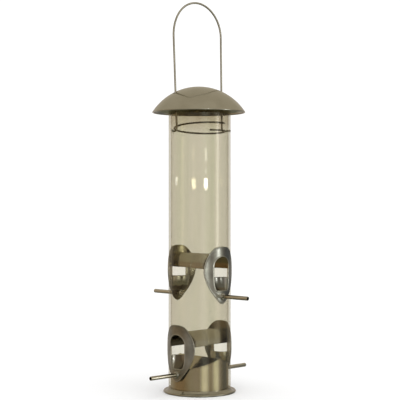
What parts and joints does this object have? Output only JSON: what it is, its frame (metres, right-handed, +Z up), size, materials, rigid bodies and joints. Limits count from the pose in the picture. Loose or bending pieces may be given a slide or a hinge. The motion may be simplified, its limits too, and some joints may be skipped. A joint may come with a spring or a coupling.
{
  "type": "hanging bird feeder",
  "caption": "Clear tubular seed feeder for hanging: domed metal lid that lifts along a wire bail, hooded feeding ports with trays and perches, and a metal base with a round foot.",
  "frame": {"origin": "centre of the foot's flat underside, on the tube's axis", "axes": "+Z up along the tube; the upper ports face +X and -X, the lower ports face +Y and -Y"},
  "size_m": [0.1322, 0.1322, 0.3889],
  "materials": {
    "clear_plastic": "gloss",
    "polished_steel": "polished",
    "steel_wire": "polished",
    "cast_metal": "polished",
    "perch_metal": "polished",
    "nut_metal": "satin"
  },
  "bodies": {
    "feeder": {"feeder_tube": "clear_plastic", "bail_handle": "steel_wire", "spreader_ring": "steel_wire", "port_upper_right": "cast_metal", "port_upper_left": "cast_metal", "port_lower_front": "cast_metal", "port_lower_back": "cast_metal", "perch_upper_right": "perch_metal", "perch_upper_left": "perch_metal", "perch_lower_front": "perch_metal", "perch_lower_back": "perch_metal", "perch_nut_upper_right": "nut_metal", "perch_nut_upper_left": "nut_metal", "perch_nut_lower_front": "nut_metal", "perch_nut_lower_back": "nut_metal", "base_cup": "polished_steel", "seed_deflector": "polished_steel", "foot_flange": "polished_steel"},
    "lid": {"lid_dome": "polished_steel"}
  },
  "joints": [
    {"name": "lid_slide", "type": "slide", "parent": "feeder", "child": "lid", "axis": [-0.0059, -0.0255, 0.9997], "range_m": [0, 0.055]}
  ]
}
